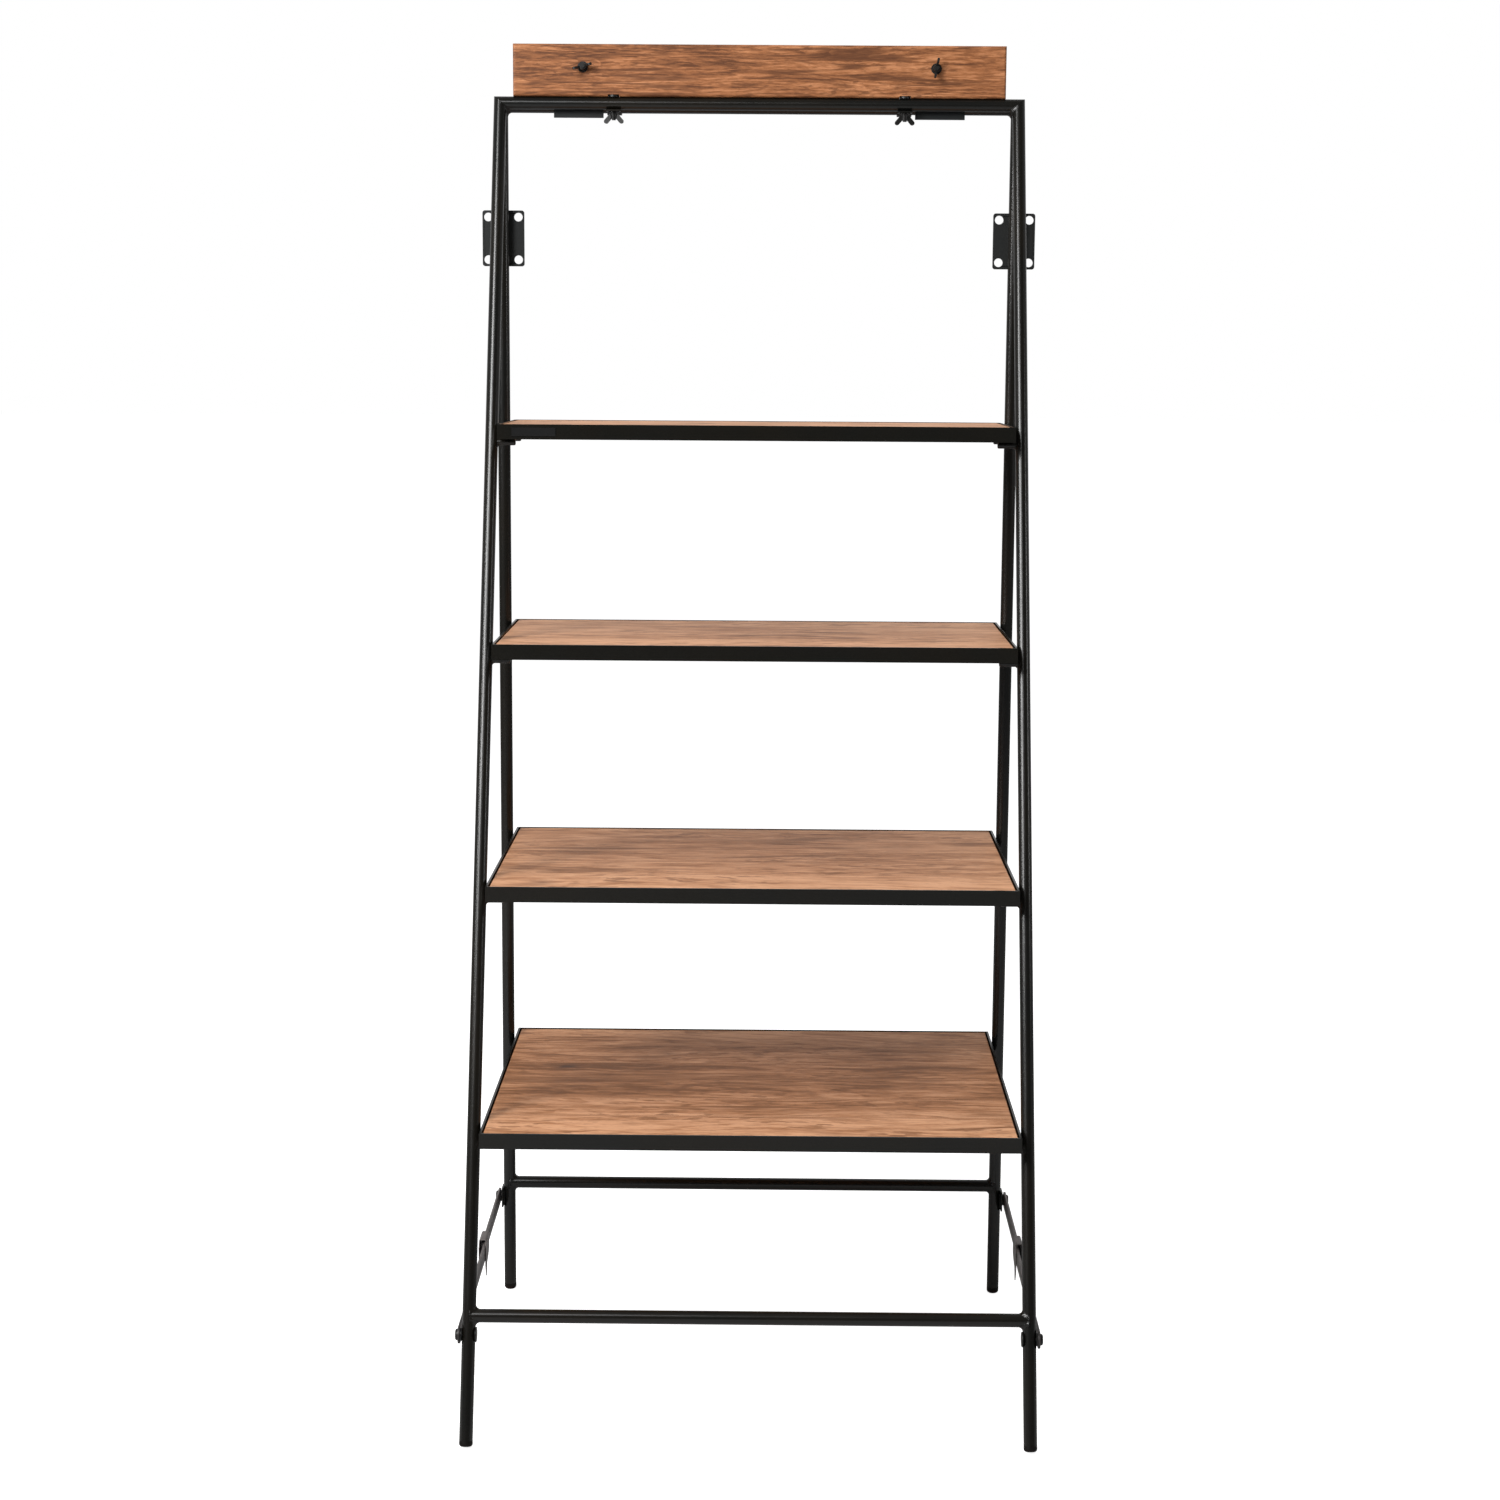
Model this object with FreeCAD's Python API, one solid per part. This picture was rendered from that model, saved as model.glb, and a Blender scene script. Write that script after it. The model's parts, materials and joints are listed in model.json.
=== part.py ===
import FreeCAD, Part
import math
import os

# Folding ladder shelf. Millimetres. X runs along the shelves, +Y points to the wall, +Z up.
# The origin is on the floor, in the middle of the shelf's bounding box.

# Frames: two inverted U frames of round tube
TUBE_R = 9.5
TUBE_WALL = 1.5
LEG_X = 390.0
REAR_LEG_Y = 302.5
REAR_BAR_Z = 1866.5
FRONT_FOOT_Y = -328.0
FRONT_BAR_Y = 278.5
FRONT_BAR_Z = 1869.5
FRONT_CROSS_Z = 170.5
REAR_CROSS_Z = 178.0
FOOT_EDGE = 4.5
FOOT_PLUG_R = 7.9
FOOT_PLUG_DEPTH = 14.0

# Shelves: an angle-iron rim holding a wooden board
SHELF_TOPS = (1395.0, 1084.0, 752.0, 424.0)
SHELF_WIDTH = 755.0
SHELF_REAR_Y = 337.5
SHELF_OVERHANG = 46.0
RIM_HEIGHT = 22.0
RIM_STEEL = 3.0
RIM_LEDGE = 22.0
BOARD_GAP = 2.5
BOARD_DEPTH = 18.5
BOARD_EASE = 1.5
PEG_R = 5.0
REAR_PEG_TIP_X = 364.0
FRONT_PEG_TIP_X = 354.5
PEG_TIP_ROUND = 2.0
PEG_CLEARANCE = 0.3

# Blank plate on the front of the top shelf
LABEL_X = -324.0
LABEL_SIZE = (64.0, 1.0, 12.5)

# Wall plates on the backs of the rear legs
PLATE_SIZE = (64.0, 3.0, 84.0)
PLATE_Z = 1670.5
PLATE_CORNER = 4.0
PLATE_HOLE_R = 6.5
PLATE_HOLE_SPACING = (46.0, 64.0)

# Header board and the slotted brackets behind it
HEADER_SIZE = (740.0, 18.0, 77.0)
HEADER_EASE = 4.0
HEADER_BOLT_X = 265.0
HEADER_BOLT_Z = 1922.0
BRACKET_X = 272.5
BRACKET_SIZE = (75.0, 2.5, 91.0)
BRACKET_FLOOR_Z = 1849.0
BRACKET_SLOT = (48.0, 4.0)
BRACKET_SLOT_X = 263.0
BRACKET_SLOT_Z = 1862.5

# Hinge straps that hold the two top bars together
CLAMP_X = 219.0
STRAP_WIDTH = 22.0
STRAP_STEEL = 2.5
STRAP_CLEARANCE = 0.35
STRAP_NOSE_Y = 266.0
STRAP_REACH_Y = 294.0
CLAMP_HEAD_R = 8.0
HEAD_NOTCH = (16.8, 3.3)

# Bolts, washers and wing nuts
BOLT_R = 3.0
BOLT_HEAD_R = 6.5
BOLT_HEAD_T = 3.0
BOLT_HOLE_R = 3.3
WASHER_R = 8.0
WASHER_T = 1.5
TURN_GAP = 0.2
RUNNING_GAP = 0.06
NUT_R = 5.6
NUT_TOP_R = 4.6
NUT_HEIGHT = 9.0
WING_T = 3.4
WING_R = 3.4
WING_ROOT = (4.0, 4.0)
WING_TIP = (11.5, 12.5)
BOLT_STICKS_OUT = 2.0
HEADER_NUT_TURN = {"left": 15.0, "right": 80.0}
CLAMP_NUT_TURN = {"left": 8.0, "right": 172.0}

# Spreader arms, given for the +X side
ARM_REAR = (REAR_LEG_Y, 155.0)
ARM_FRONT_Z = 146.0
REAR_LINK_LENGTH = 243.0
LINK_HALF = 12.5
LINK_T = 3.0
REAR_LINK_X = 404.9
FRONT_LINK_X = 401.6
TAB_SIZE = (2.5, 24.0, 32.0)
PIVOT_R = 4.0
PIVOT_HEAD_R = 8.0
PIVOT_HEAD_T = 4.0
PIVOT_WASHER_R = 9.0
DOME_SHARE = 0.6
CAP_NUT_R = 10.5
CAP_NUT_T = 1.8
SADDLE_X = (399.8, 411.3)
SADDLE_STEEL = 1.5
SADDLE_TOP = 19.5
SADDLE_ROUND = 3.0
SADDLE_REACH = 60.0
SADDLE_OUTLINE = ((-22, 19.5), (14, 19.5), (24, 9), (24, -20), (16, -38), (8, -20), (-10, -14), (-22, -6))
RIVET_R = 3.5
RIVET_HEAD_R = 6.0
RIVET_HEAD_T = 2.0

X_AXIS = FreeCAD.Vector(1, 0, 0)
Y_AXIS = FreeCAD.Vector(0, 1, 0)
Z_AXIS = FreeCAD.Vector(0, 0, 1)
ORIGIN = FreeCAD.Vector(0, 0, 0)

FRONT_RISE = FRONT_BAR_Z - TUBE_R
FRONT_RUN = FRONT_BAR_Y - FRONT_FOOT_Y
FRONT_LEAN = math.degrees(math.atan2(FRONT_RUN, FRONT_RISE))
SIDES = {"left": -1, "right": 1}
CLOSE = 0.1


def vec(x, y, z):
    return FreeCAD.Vector(x, y, z)


def box(x_range, y_range, z_range):
    """Box between the given low and high values."""
    sizes = [high - low for low, high in (x_range, y_range, z_range)]
    return Part.makeBox(*sizes, vec(x_range[0], y_range[0], z_range[0]))


def rod(start, axis, length, radius):
    return Part.makeCylinder(radius, length, start, axis)


def prism(points, extrusion):
    """Solid from a closed outline swept along a vector."""
    return Part.Face(Part.makePolygon(list(points) + [points[0]])).extrude(extrusion)


def mirrored(shape):
    return shape.mirror(ORIGIN, X_AXIS)


def on_side(shape, side):
    """A shape drawn for the +X side, or its mirror image."""
    return shape if SIDES[side] > 0 else mirrored(shape)


def both_sides(shape):
    return [mirrored(shape), shape]


def front_leg_y(z):
    """Y of the leaning front leg's centre line at a height."""
    return FRONT_FOOT_Y + (z - TUBE_R) * FRONT_RUN / FRONT_RISE


def along_front_leg(z):
    return (z - TUBE_R) * math.hypot(FRONT_RUN, FRONT_RISE) / FRONT_RISE


def stand_up_rear(shape):
    """Moves a frame piece drawn upright at Y = 0 to the rear frame."""
    placed = shape.copy()
    placed.translate(vec(0, REAR_LEG_Y, TUBE_R))
    return placed


def lean_front(shape):
    """Leans a frame piece drawn upright at Y = 0 back into the front frame."""
    placed = shape.copy()
    placed.rotate(ORIGIN, X_AXIS, -FRONT_LEAN)
    placed.translate(vec(0, FRONT_FOOT_Y, TUBE_R))
    return placed


def hollow(start, axis, length):
    bore_r = TUBE_R - TUBE_WALL
    return rod(start, axis, length, TUBE_R).cut(rod(start, axis, length, bore_r))


def mitred_leg(height):
    """Right leg tube from the foot to the mitre at the top bar."""
    reach = 2 * TUBE_R
    low_x, high_x = LEG_X - reach, LEG_X + reach
    outline = [(low_x, 0), (high_x, 0), (high_x, height + reach), (low_x, height - reach)]
    keep = prism([vec(x, -reach, z) for x, z in outline], Y_AXIS * 2 * reach)
    return hollow(vec(LEG_X, 0, 0), Z_AXIS, height + reach).common(keep)


def mitred_top_bar(height):
    reach = 2 * TUBE_R
    wide, narrow = LEG_X + reach, LEG_X - reach
    low, high = height - reach, height + reach
    outline = [(-narrow, low), (narrow, low), (wide, high), (-wide, high)]
    keep = prism([vec(x, -reach, z) for x, z in outline], Y_AXIS * 2 * reach)
    return hollow(vec(-wide, 0, height), X_AXIS, 2 * wide).common(keep)


def leg_cores(height):
    """Solid cylinders on the legs' centre lines, for coping what meets them."""
    return [rod(vec(side * LEG_X, 0, -TUBE_R), Z_AXIS, height, TUBE_R) for side in (-1, 1)]


def coped_cross_bar(height, bar_z):
    bar = hollow(vec(-LEG_X, 0, bar_z), X_AXIS, 2 * LEG_X)
    for core in leg_cores(height):
        bar = bar.cut(core)
    middle = [solid for solid in bar.Solids if abs(solid.CenterOfMass.x) < CLOSE]
    return middle[0]


def foot(lean):
    """Foot with a rounded edge and a plug inside the right leg tube, on the floor when its leg leans."""
    angle = math.radians(lean)
    depth = FOOT_EDGE + (TUBE_R - FOOT_EDGE) * (1 - math.sin(angle)) / math.cos(angle)
    pad = rod(vec(LEG_X, 0, -depth), Z_AXIS, depth, TUBE_R)
    rim = min(pad.Edges, key=lambda edge: edge.BoundBox.ZMax)
    pad = pad.makeFillet(FOOT_EDGE, [rim])
    return pad.fuse(rod(vec(LEG_X, 0, 0), Z_AXIS, FOOT_PLUG_DEPTH, FOOT_PLUG_R)).removeSplitter()


def peg(height, tip_x):
    """Right-hand shelf peg: a short stud with a rounded tip, coped to the leg."""
    stud = rod(vec(tip_x, 0, height), X_AXIS, LEG_X - tip_x, PEG_R)
    tip = min(stud.Edges, key=lambda edge: edge.CenterOfMass.x)
    stud = stud.makeFillet(PEG_TIP_ROUND, [tip])
    leg = rod(vec(LEG_X, 0, height - 2 * TUBE_R), Z_AXIS, 4 * TUBE_R, TUBE_R)
    return stud.cut(leg)


def peg_height(shelf_top):
    return shelf_top - RIM_HEIGHT - PEG_CLEARANCE - PEG_R


def clamp_hole():
    """Vertical hole through the front top bar for a clamp bolt."""
    start = vec(CLAMP_X, FRONT_BAR_Y, FRONT_BAR_Z - 2 * TUBE_R)
    return rod(start, Z_AXIS, 4 * TUBE_R, BOLT_HOLE_R)


def front_pivot_hole():
    """Hole through the right front leg for the arm's pivot bolt."""
    start = vec(LEG_X - 2 * TUBE_R, front_leg_y(ARM_FRONT_Z), ARM_FRONT_Z)
    return rod(start, X_AXIS, 4 * TUBE_R, PIVOT_R + RUNNING_GAP)


def rear_frame_tubes():
    height = REAR_BAR_Z - TUBE_R
    pegs = [stand_up_rear(peg(peg_height(top) - TUBE_R, REAR_PEG_TIP_X)) for top in SHELF_TOPS]
    parts = {
        "rear_top_bar": [stand_up_rear(mitred_top_bar(height))],
        "rear_cross_bar": [stand_up_rear(coped_cross_bar(height, REAR_CROSS_Z - TUBE_R))],
    }
    for side in SIDES:
        parts[f"rear_leg_{side}"] = [on_side(stand_up_rear(mitred_leg(height)), side)]
        parts[f"rear_foot_{side}"] = [on_side(stand_up_rear(foot(0.0)), side)]
        parts[f"rear_pegs_{side}"] = [on_side(stud, side) for stud in pegs]
    return parts


def front_frame_tubes():
    height = along_front_leg(FRONT_BAR_Z)
    leg = lean_front(mitred_leg(height)).cut(front_pivot_hole())
    bar = lean_front(mitred_top_bar(height))
    for hole in both_sides(clamp_hole()):
        bar = bar.cut(hole)
    cross = lean_front(coped_cross_bar(height, along_front_leg(FRONT_CROSS_Z)))
    pegs = [lean_front(peg(along_front_leg(peg_height(top)), FRONT_PEG_TIP_X)) for top in SHELF_TOPS]
    parts = {"front_top_bar": [bar], "front_cross_bar": [cross]}
    for side in SIDES:
        parts[f"front_leg_{side}"] = [on_side(leg, side)]
        parts[f"front_foot_{side}"] = [on_side(lean_front(foot(FRONT_LEAN)), side)]
        parts[f"front_pegs_{side}"] = [on_side(stud, side) for stud in pegs]
    return parts


def shelf_front_y(shelf_top):
    """Front edge of a shelf, a fixed overhang ahead of the front pegs."""
    return front_leg_y(peg_height(shelf_top)) - SHELF_OVERHANG


def rim_sides(half, front, back, depth):
    """Outlines of the four mitred sides of a rim, as seen from above."""
    outer = [(-half, front), (half, front), (half, back), (-half, back)]
    inner = [(-half + depth, front + depth), (half - depth, front + depth),
             (half - depth, back - depth), (-half + depth, back - depth)]
    return [(outer[i - 1], outer[i], inner[i], inner[i - 1]) for i in range(4)]


def shelf_rim(top):
    """Angle-iron rim: four mitred bars, each with a wall and a ledge."""
    half, front, back = SHELF_WIDTH / 2, shelf_front_y(top), SHELF_REAR_Y
    low = top - RIM_HEIGHT
    wall, ledge = RIM_STEEL, RIM_LEDGE
    ring = box((-half, half), (front, back), (low, top))
    ring = ring.cut(box((wall - half, half - wall), (front + wall, back - wall), (low + wall, top)))
    ring = ring.cut(box((ledge - half, half - ledge), (front + ledge, back - ledge), (low, top)))
    bars = []
    for outline in rim_sides(half, front, back, ledge):
        side = prism([vec(x, y, low) for x, y in outline], Z_AXIS * RIM_HEIGHT)
        bars.append(ring.common(side).Solids[0])
    return bars


def shelf_board(top):
    """Wooden board with eased top edges, lying on the rim's ledge."""
    inset = RIM_STEEL + BOARD_GAP
    half = SHELF_WIDTH / 2 - inset
    low = top - RIM_HEIGHT + RIM_STEEL
    board = box((-half, half), (shelf_front_y(top) + inset, SHELF_REAR_Y - inset), (low, low + BOARD_DEPTH))
    upper = [edge for edge in board.Edges if edge.BoundBox.ZMin > low + BOARD_DEPTH - CLOSE]
    return board.makeFillet(BOARD_EASE, upper)


def shelves():
    parts = {}
    for number, top in enumerate(SHELF_TOPS, 1):
        parts[f"shelf_{number}_rim"] = shelf_rim(top)
        parts[f"shelf_{number}_board"] = [shelf_board(top)]
    width, depth, height = LABEL_SIZE
    top = SHELF_TOPS[0]
    front = shelf_front_y(top)
    low = top - RIM_HEIGHT / 2 - height / 2
    parts["blank_plate"] = [box((LABEL_X - width / 2, LABEL_X + width / 2), (front - depth, front),
                                (low, low + height))]
    return parts


def wall_plate():
    """Right wall plate: rounded corners and four screw holes."""
    width, depth, height = PLATE_SIZE
    front = REAR_LEG_Y + TUBE_R
    plate = box((LEG_X - width / 2, LEG_X + width / 2), (front, front + depth),
                (PLATE_Z - height / 2, PLATE_Z + height / 2))
    corners = [edge for edge in plate.Edges if abs(edge.BoundBox.YLength - depth) < CLOSE]
    plate = plate.makeFillet(PLATE_CORNER, corners)
    for x_step in (-0.5, 0.5):
        for z_step in (-0.5, 0.5):
            centre = vec(LEG_X + x_step * PLATE_HOLE_SPACING[0], front,
                         PLATE_Z + z_step * PLATE_HOLE_SPACING[1])
            plate = plate.cut(rod(centre, Y_AXIS, depth, PLATE_HOLE_R))
    return plate


def slot(centre, length, height, depth):
    """Round-ended horizontal slot, cut along Y."""
    radius = height / 2
    half = length / 2 - radius
    body = box((centre.x - half, centre.x + half), (centre.y, centre.y + depth),
               (centre.z - radius, centre.z + radius))
    ends = [rod(centre + X_AXIS * step, Y_AXIS, depth, radius) for step in (-half, half)]
    return body.fuse(ends)


def header_bracket():
    """Right bracket: a slotted plate between the top bars, up behind the header board."""
    width, depth, height = BRACKET_SIZE
    front = FRONT_BAR_Y + TUBE_R
    plate = box((BRACKET_X - width / 2, BRACKET_X + width / 2), (front, front + depth),
                (BRACKET_FLOOR_Z, BRACKET_FLOOR_Z + height))
    plate = plate.cut(slot(vec(BRACKET_SLOT_X, front, BRACKET_SLOT_Z), *BRACKET_SLOT, depth))
    return plate.cut(rod(vec(HEADER_BOLT_X, front, HEADER_BOLT_Z), Y_AXIS, depth, BOLT_HOLE_R))


def header_board():
    """Upright board on the top bar, notched over the clamp bolts' heads."""
    width, depth, height = HEADER_SIZE
    back = FRONT_BAR_Y + TUBE_R
    low = FRONT_BAR_Z + TUBE_R
    board = box((-width / 2, width / 2), (back - depth, back), (low, low + height))
    front = [edge for edge in board.Edges if edge.BoundBox.YMax < back - depth + CLOSE]
    board = board.makeFillet(HEADER_EASE, front)
    notch_w, notch_h = HEAD_NOTCH
    notch = box((CLAMP_X - notch_w / 2, CLAMP_X + notch_w / 2), (back - depth, back), (low, low + notch_h))
    hole = rod(vec(HEADER_BOLT_X, back - depth, HEADER_BOLT_Z), Y_AXIS, depth, BOLT_HOLE_R)
    for cutter in both_sides(notch) + both_sides(hole):
        board = board.cut(cutter)
    return board


def bolt(head_face, axis, grip, head_r):
    """Bolt with a flat round head; the head sits behind head_face, the shank runs along axis."""
    head = rod(head_face - axis * BOLT_HEAD_T, axis, BOLT_HEAD_T, head_r)
    return head.fuse(rod(head_face, axis, grip, BOLT_R)).removeSplitter()


def washer(start, axis, radius, hole_r, depth):
    return rod(start, axis, depth, radius).cut(rod(start, axis, depth, hole_r))


def wing():
    """One ear of a wing nut, drawn in the XZ plane with the nut's axis on Z."""
    (root_x, root_z), (tip_x, tip_z) = WING_ROOT, WING_TIP
    length = math.hypot(tip_x - root_x, tip_z - root_z)
    side = vec(-(tip_z - root_z), 0, tip_x - root_x) * (WING_R / length)
    root, tip = vec(root_x, -WING_T / 2, root_z), vec(tip_x, -WING_T / 2, tip_z)
    ear = prism([root - side, tip - side, tip + side, root + side], Y_AXIS * WING_T)
    return ear.fuse(rod(tip, Y_AXIS, WING_T, WING_R))


def wing_nut():
    """Wing nut standing on the XY plane, its ears along X."""
    body = Part.makeCone(NUT_R, NUT_TOP_R, NUT_HEIGHT).fuse([wing(), mirrored(wing())])
    bore = rod(ORIGIN, Z_AXIS, 3 * NUT_HEIGHT, BOLT_R + RUNNING_GAP)
    below = box((-NUT_R, NUT_R), (-NUT_R, NUT_R), (-NUT_R, 0))
    return body.cut(bore).cut(below).removeSplitter()


def placed_nut(seat, away, turn):
    """Wing nut on a seat point, its axis pointing away, its ears turned by an angle."""
    nut = wing_nut()
    nut.rotate(ORIGIN, Z_AXIS, turn)
    nut.Placement = FreeCAD.Placement(ORIGIN, FreeCAD.Rotation(Z_AXIS, away)).multiply(nut.Placement)
    nut.translate(seat + away * TURN_GAP)
    return nut


def header_fasteners():
    """Brackets, bolts, washers and wing nuts that hold the header board."""
    board_front = FRONT_BAR_Y + TUBE_R - HEADER_SIZE[1]
    bracket_back = FRONT_BAR_Y + TUBE_R + BRACKET_SIZE[1]
    grip = bracket_back - board_front + WASHER_T + NUT_HEIGHT + BOLT_STICKS_OUT
    stud = bolt(vec(HEADER_BOLT_X, bracket_back, HEADER_BOLT_Z), -Y_AXIS, grip, BOLT_HEAD_R)
    ring_seat = vec(HEADER_BOLT_X, board_front, HEADER_BOLT_Z)
    ring = washer(ring_seat, -Y_AXIS, WASHER_R, BOLT_HOLE_R, WASHER_T)
    parts = {"header_bolts": both_sides(stud), "header_washers": both_sides(ring)}
    for side, turn in HEADER_NUT_TURN.items():
        seat = vec(SIDES[side] * HEADER_BOLT_X, board_front - WASHER_T, HEADER_BOLT_Z)
        parts[f"header_bracket_{side}"] = [on_side(header_bracket(), side)]
        parts[f"header_wing_nut_{side}"] = [placed_nut(seat, -Y_AXIS, turn)]
    return parts


def hinge_strap():
    """Right strap: a ring around the rear top bar with a tail bolted under the front one."""
    inner_r = TUBE_R + STRAP_CLEARANCE
    low_x = CLAMP_X - STRAP_WIDTH / 2
    tail_top = FRONT_BAR_Z - TUBE_R
    centre = vec(low_x, REAR_LEG_Y, REAR_BAR_Z)
    ring = rod(centre, X_AXIS, STRAP_WIDTH, inner_r + STRAP_STEEL)
    tail = box((low_x, low_x + STRAP_WIDTH), (STRAP_NOSE_Y, STRAP_REACH_Y), (tail_top - STRAP_STEEL, tail_top))
    strap = ring.fuse(tail).cut(rod(centre, X_AXIS, STRAP_WIDTH, inner_r))
    hole = rod(vec(CLAMP_X, FRONT_BAR_Y, tail_top - STRAP_STEEL), Z_AXIS, STRAP_STEEL, BOLT_HOLE_R)
    return strap.cut(hole).removeSplitter()


def clamps():
    """Hinge straps with their bolts, washers and wing nuts."""
    strap_under = FRONT_BAR_Z - TUBE_R - STRAP_STEEL
    grip = 2 * TUBE_R + STRAP_STEEL + WASHER_T + NUT_HEIGHT + BOLT_STICKS_OUT
    stud = bolt(vec(CLAMP_X, FRONT_BAR_Y, FRONT_BAR_Z + TUBE_R), -Z_AXIS, grip, CLAMP_HEAD_R)
    ring = washer(vec(CLAMP_X, FRONT_BAR_Y, strap_under), -Z_AXIS, WASHER_R, BOLT_HOLE_R, WASHER_T)
    parts = {"clamp_bolts": both_sides(stud), "clamp_washers": both_sides(ring)}
    for side, turn in CLAMP_NUT_TURN.items():
        seat = vec(SIDES[side] * CLAMP_X, FRONT_BAR_Y, strap_under - WASHER_T)
        parts[f"hinge_strap_{side}"] = [on_side(hinge_strap(), side)]
        parts[f"clamp_wing_nut_{side}"] = [placed_nut(seat, -Z_AXIS, turn)]
    return parts


def arm_points():
    """Rear pivot, middle joint and front pivot of a spreader arm, as (y, z)."""
    rear = FreeCAD.Vector(0, *ARM_REAR)
    front = vec(0, front_leg_y(ARM_FRONT_Z), ARM_FRONT_Z)
    forward = (front - rear).normalize()
    return rear, rear + forward * REAR_LINK_LENGTH, front


def link(first, last, low_x, first_hole, last_hole):
    """Flat bar with round ends and a pivot hole at each end."""
    forward = (last - first).normalize()
    up = forward.cross(X_AXIS) * LINK_HALF
    first_at, last_at = first + X_AXIS * low_x, last + X_AXIS * low_x
    bar = prism([first_at - up, last_at - up, last_at + up, first_at + up], X_AXIS * LINK_T)
    bar = bar.fuse([rod(end, X_AXIS, LINK_T, LINK_HALF) for end in (first_at, last_at)])
    for end, radius in ((first_at, first_hole), (last_at, last_hole)):
        bar = bar.cut(rod(end, X_AXIS, LINK_T, radius))
    return bar.removeSplitter()


def saddle():
    """Right arm's inverted U channel over the middle joint, with pointed lower tips."""
    rear, middle, _ = arm_points()
    low_x, high_x = SADDLE_X
    forward = (middle - rear).normalize()
    up = Z_AXIS - forward * Z_AXIS.dot(forward)
    up.normalize()
    outline = [middle + forward * along + up * rise + X_AXIS * low_x for along, rise in SADDLE_OUTLINE]
    shell = prism(outline, X_AXIS * (high_x - low_x))
    shoulder = middle.z + SADDLE_TOP - LINK_T
    crown = [edge for edge in shell.Edges
             if edge.BoundBox.XLength < CLOSE and edge.BoundBox.ZMin > shoulder]
    shell = shell.makeFillet(SADDLE_ROUND, crown)
    far, ceiling = SADDLE_REACH, SADDLE_TOP - SADDLE_STEEL
    inside = [middle + forward * along + up * rise + X_AXIS * (low_x + SADDLE_STEEL)
              for along, rise in ((-far, -far), (far, -far), (far, ceiling), (-far, ceiling))]
    shell = shell.cut(prism(inside, X_AXIS * (high_x - low_x - 2 * SADDLE_STEEL)))
    return shell.cut(rod(middle + X_AXIS * low_x, X_AXIS, high_x - low_x, RIVET_R))


def saddle_rivet():
    """Rivet through both links and both walls of the saddle of the right arm."""
    _, middle, _ = arm_points()
    inner, outer = SADDLE_X
    shank = rod(middle + X_AXIS * inner, X_AXIS, outer - inner, RIVET_R)
    head = rod(middle + X_AXIS * outer, X_AXIS, RIVET_HEAD_T, RIVET_HEAD_R)
    return shank.fuse(head).removeSplitter()


def domed_head(centre, axis, depth, radius):
    """Round head whose outer edge is rounded over a share of its depth."""
    head = rod(centre, axis, depth, radius)
    rim = max(head.Edges, key=lambda edge: edge.CenterOfMass.dot(axis))
    return head.makeFillet(DOME_SHARE * depth, [rim])


def rear_pivot():
    """Tab, washer and bolt that carry the right rear link on the rear leg."""
    rear, _, _ = arm_points()
    leg_face = LEG_X + TUBE_R
    tab_t, tab_w, tab_h = TAB_SIZE
    tab = box((leg_face, leg_face + tab_t), (rear.y - tab_w / 2, rear.y + tab_w / 2),
              (rear.z - tab_h / 2, rear.z + tab_h / 2))
    tab = tab.cut(rod(rear + X_AXIS * leg_face, X_AXIS, tab_t, PIVOT_R))
    tab_face = leg_face + tab_t
    ring_t = REAR_LINK_X - TURN_GAP - tab_face
    ring = washer(rear + X_AXIS * tab_face, X_AXIS, PIVOT_WASHER_R, PIVOT_R, ring_t)
    head_face = REAR_LINK_X + LINK_T + TURN_GAP
    head = domed_head(rear + X_AXIS * head_face, X_AXIS, PIVOT_HEAD_T, PIVOT_HEAD_R)
    shank = rod(rear + X_AXIS * leg_face, X_AXIS, head_face - leg_face, PIVOT_R)
    return tab, ring, head.fuse(shank).removeSplitter()


def front_pivot():
    """Washer, pin and cap nut on the right front leg, with the pin ending just short of the front link."""
    _, _, front = arm_points()
    outer_face, inner_face = LEG_X + TUBE_R, LEG_X - TUBE_R
    pin_end = FRONT_LINK_X - TURN_GAP
    ring = washer(front + X_AXIS * outer_face, X_AXIS, PIVOT_WASHER_R, PIVOT_R, pin_end - outer_face)
    pin = rod(front + X_AXIS * inner_face, X_AXIS, pin_end - inner_face, PIVOT_R)
    cap = domed_head(front + X_AXIS * inner_face, -X_AXIS, CAP_NUT_T, CAP_NUT_R)
    return ring, pin, cap


def front_pivot_head():
    """Head of the front pivot, with a stub that fills the right front link's hole."""
    _, _, front = arm_points()
    head = domed_head(front + X_AXIS * (FRONT_LINK_X + LINK_T), X_AXIS, PIVOT_HEAD_T, PIVOT_HEAD_R)
    stub = rod(front + X_AXIS * FRONT_LINK_X, X_AXIS, LINK_T, PIVOT_R)
    return head.fuse(stub).removeSplitter()


def spreader_arms():
    rear, middle, front = arm_points()
    tab, rear_ring, rear_bolt = rear_pivot()
    front_ring, front_pin, cap = front_pivot()
    parts = {
        "arm_rear_washers": both_sides(rear_ring),
        "arm_rear_bolts": both_sides(rear_bolt),
        "arm_front_washers": both_sides(front_ring),
        "arm_front_pins": both_sides(front_pin),
        "arm_cap_nuts": both_sides(cap),
    }
    pieces = {
        "arm_tab": tab,
        "rear_link": link(rear, middle, REAR_LINK_X, PIVOT_R + RUNNING_GAP, RIVET_R),
        "front_link": link(middle, front, FRONT_LINK_X, RIVET_R + RUNNING_GAP, PIVOT_R),
        "arm_front_head": front_pivot_head(),
        "saddle": saddle(),
        "saddle_rivet": saddle_rivet(),
    }
    for side in SIDES:
        for name, shape in pieces.items():
            parts[f"{name}_{side}"] = [on_side(shape, side)]
    return parts


def wall_plates():
    return {f"wall_plate_{side}": [on_side(wall_plate(), side)] for side in SIDES}


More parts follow.
